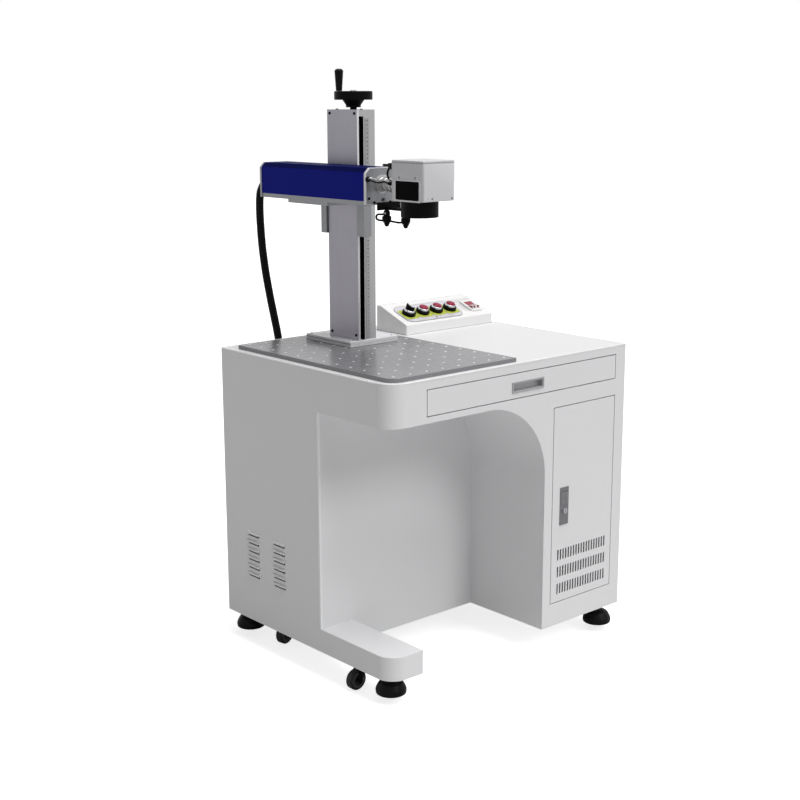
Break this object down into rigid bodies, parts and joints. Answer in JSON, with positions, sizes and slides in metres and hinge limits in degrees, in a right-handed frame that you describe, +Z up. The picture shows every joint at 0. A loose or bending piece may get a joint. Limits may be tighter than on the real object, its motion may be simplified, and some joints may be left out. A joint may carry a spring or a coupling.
{
  "type": "laser marking machine",
  "caption": "Free-standing laser marking machine: scan head on a handwheel-lifted arm over a drilled work plate, on a wheeled kneehole cabinet with console, drawer and door",
  "frame": {"origin": "on the floor under the middle of the machine's footprint, the free conduit left out", "axes": "+X to the machine's right seen from the front, +Y to the back, +Z up"},
  "size_m": [0.805, 0.7275, 1.454],
  "materials": {
    "cabinet_paint": "fine powder coat, satin, off-white",
    "anodised": "satin anodised aluminium",
    "plate_metal": "milled aluminium, satin",
    "zinc_steel": "bright zinc-plated steel",
    "arm_blue": "anodised royal blue, satin",
    "black_metal": "black anodised, satin",
    "black_plastic": "moulded black plastic",
    "black_rubber": "smooth black sleeve",
    "red_plastic": "clear red plastic",
    "panel_steel": "brushed plate",
    "lens_black": "black anodised barrel",
    "mirror_coat": "polished mirror",
    "caster_tread": "black wheel tread"
  },
  "bodies": {
    "cabinet": {"left_side": "cabinet_paint", "front_panel": "cabinet_paint", "kneehole_liner": "cabinet_paint", "right_side": "cabinet_paint", "back_panel": "cabinet_paint", "base_frame": "cabinet_paint", "table_top": "cabinet_paint", "work_plate": "plate_metal", "drawer_runners": "zinc_steel", "laser_source": "black_metal", "control_computer": "zinc_steel", "rear_connectors": "black_plastic", "console_housing": "cabinet_paint", "control_plate": "panel_steel", "switch_bodies": "black_plastic", "column_base": "anodised", "column_channel": "anodised", "column_cover": "anodised", "column_cap": "anodised", "guide_rods": "zinc_steel", "levelling_feet": "black_plastic", "conduit": "black_rubber"},
    "drawer": {"drawer_box": "zinc_steel", "drawer_front": "cabinet_paint", "drawer_pull": "zinc_steel"},
    "door": {"door_panel": "cabinet_paint", "door_lock": "zinc_steel"},
    "latch_lever": {"door_handle": "zinc_steel"},
    "latch_button": {"lock_button": "zinc_steel"},
    "selector": {"selector_knob": "black_plastic"},
    "left_button": {"button_left": "red_plastic"},
    "middle_button": {"button_middle": "red_plastic"},
    "right_button": {"button_right": "red_plastic"},
    "power_rocker": {"rocker_switch": "red_plastic"},
    "screw": {"lead_screw": "zinc_steel", "handwheel": "black_plastic"},
    "grip": {"handwheel_grip": "black_plastic"},
    "arm": {"carriage": "anodised", "support_plate": "anodised", "arm_rail": "anodised", "arm_body": "arm_blue", "arm_end_plates": "anodised", "adapter_tube": "anodised", "scan_head": "cabinet_paint", "lens": "lens_black", "galvo_motors": "zinc_steel", "pointer_bracket": "lens_black", "signal_leads": "black_rubber"},
    "mirror_x": {"galvo_mirror_x": "mirror_coat"},
    "mirror_y": {"galvo_mirror_y": "mirror_coat"},
    "rear_pointer": {"pointer_rear": "lens_black"},
    "front_pointer": {"pointer_front": "lens_black"},
    "fork_front_left": {"caster_fork_front_left": "black_metal"},
    "wheel_front_left": {"caster_wheel_front_left": "caster_tread"},
    "fork_front_right": {"caster_fork_front_right": "black_metal"},
    "wheel_front_right": {"caster_wheel_front_right": "caster_tread"},
    "fork_rear_left": {"caster_fork_rear_left": "black_metal"},
    "wheel_rear_left": {"caster_wheel_rear_left": "caster_tread"},
    "fork_rear_right": {"caster_fork_rear_right": "black_metal"},
    "wheel_rear_right": {"caster_wheel_rear_right": "caster_tread"}
  },
  "joints": [
    {"name": "drawer_slide", "type": "slide", "parent": "cabinet", "child": "drawer", "axis": [0, -1, 0], "range_m": [0, 0.35]},
    {"name": "door_hinge", "type": "hinge", "parent": "cabinet", "child": "door", "pos_m": [0.3595, -0.3205, 0.37], "axis": [0, 0, 1], "range_deg": [0, 110]},
    {"name": "latch_lever_hinge", "type": "hinge", "parent": "door", "child": "latch_lever", "pos_m": [0.18025, -0.3235, 0.418], "axis": [-1, 0, 0], "range_deg": [0, 50]},
    {"name": "latch_button_push", "type": "slide", "parent": "door", "child": "latch_button", "axis": [0, 1, 0], "range_m": [0, 0.003], "stiffness_N_per_m": 300, "springref_m": -0.001},
    {"name": "selector_turn", "type": "hinge", "parent": "cabinet", "child": "selector", "pos_m": [0.1135, 0.18726, 0.81434], "axis": [0, -0.3612, 0.9325], "range_deg": [-45, 45]},
    {"name": "left_button_push", "type": "slide", "parent": "cabinet", "child": "left_button", "axis": [0, 0.3612, -0.9325], "range_m": [0, 0.005], "stiffness_N_per_m": 300, "springref_m": -0.001},
    {"name": "middle_button_push", "type": "slide", "parent": "cabinet", "child": "middle_button", "axis": [0, 0.3612, -0.9325], "range_m": [0, 0.005], "stiffness_N_per_m": 300, "springref_m": -0.001},
    {"name": "right_button_push", "type": "slide", "parent": "cabinet", "child": "right_button", "axis": [0, 0.3612, -0.9325], "range_m": [0, 0.005], "stiffness_N_per_m": 300, "springref_m": -0.001},
    {"name": "power_rocker_tip", "type": "hinge", "parent": "cabinet", "child": "power_rocker", "pos_m": [0.3485, 0.18654, 0.8162], "axis": [1, 0, 0], "range_deg": [0, 20]},
    {"name": "carriage_lift", "type": "slide", "parent": "cabinet", "child": "arm", "axis": [0, 0, 1], "range_m": [-0.245, 0.15], "deforming": ["conduit"]},
    {"name": "handwheel_turn", "type": "hinge", "parent": "cabinet", "child": "screw", "pos_m": [-0.1315, 0.114, 1.37], "axis": [0, 0, 1], "range_deg": [-17700, 10860]},
    {"name": "grip_spin", "type": "hinge", "parent": "screw", "child": "grip", "pos_m": [-0.1682, 0.12384, 1.405], "axis": [0, 0, 1], "continuous": true},
    {"name": "mirror_x_turn", "type": "hinge", "parent": "arm", "child": "mirror_x", "pos_m": [-0.2108, -0.2275, 1.19], "axis": [0, 0, 1], "range_deg": [-12, 12]},
    {"name": "mirror_y_turn", "type": "hinge", "parent": "arm", "child": "mirror_y", "pos_m": [-0.2218, -0.2275, 1.19], "axis": [0, 1, 0], "range_deg": [-12, 12]},
    {"name": "rear_pointer_tilt", "type": "hinge", "parent": "arm", "child": "rear_pointer", "pos_m": [-0.2045, -0.0935, 1.122], "axis": [1, 0, 0], "range_deg": [-12, 12]},
    {"name": "front_pointer_tilt", "type": "hinge", "parent": "arm", "child": "front_pointer", "pos_m": [-0.2045, -0.1605, 1.122], "axis": [1, 0, 0], "range_deg": [-12, 12]},
    {"name": "caster_swivel_front_left", "type": "hinge", "parent": "cabinet", "child": "fork_front_left", "pos_m": [-0.3495, -0.1665, 0.06], "axis": [0, 0, 1], "continuous": true},
    {"name": "caster_roll_front_left", "type": "hinge", "parent": "fork_front_left", "child": "wheel_front_left", "pos_m": [-0.3715, -0.1665, 0.025], "axis": [0, -1, 0], "continuous": true},
    {"name": "caster_swivel_front_right", "type": "hinge", "parent": "cabinet", "child": "fork_front_right", "pos_m": [0.3545, -0.1665, 0.06], "axis": [0, 0, 1], "continuous": true},
    {"name": "caster_roll_front_right", "type": "hinge", "parent": "fork_front_right", "child": "wheel_front_right", "pos_m": [0.33456, -0.1758, 0.025], "axis": [0.4226, -0.9063, 0], "continuous": true},
    {"name": "caster_swivel_rear_left", "type": "hinge", "parent": "cabinet", "child": "fork_rear_left", "pos_m": [-0.3495, 0.1735, 0.06], "axis": [0, 0, 1], "continuous": true},
    {"name": "caster_roll_rear_left", "type": "hinge", "parent": "fork_rear_left", "child": "wheel_rear_left", "pos_m": [-0.32783, 0.17732, 0.025], "axis": [-0.1736, 0.9848, 0], "continuous": true},
    {"name": "caster_swivel_rear_right", "type": "hinge", "parent": "cabinet", "child": "fork_rear_right", "pos_m": [0.3545, 0.1735, 0.06], "axis": [0, 0, 1], "continuous": true},
    {"name": "caster_roll_rear_right", "type": "hinge", "parent": "fork_rear_right", "child": "wheel_rear_right", "pos_m": [0.33383, 0.18102, 0.025], "axis": [-0.342, -0.9397, 0], "continuous": true}
  ],
  "couplings": [
    {"joint": "handwheel_turn", "follows": "carriage_lift", "rad_per_m": 1256.6}
  ]
}
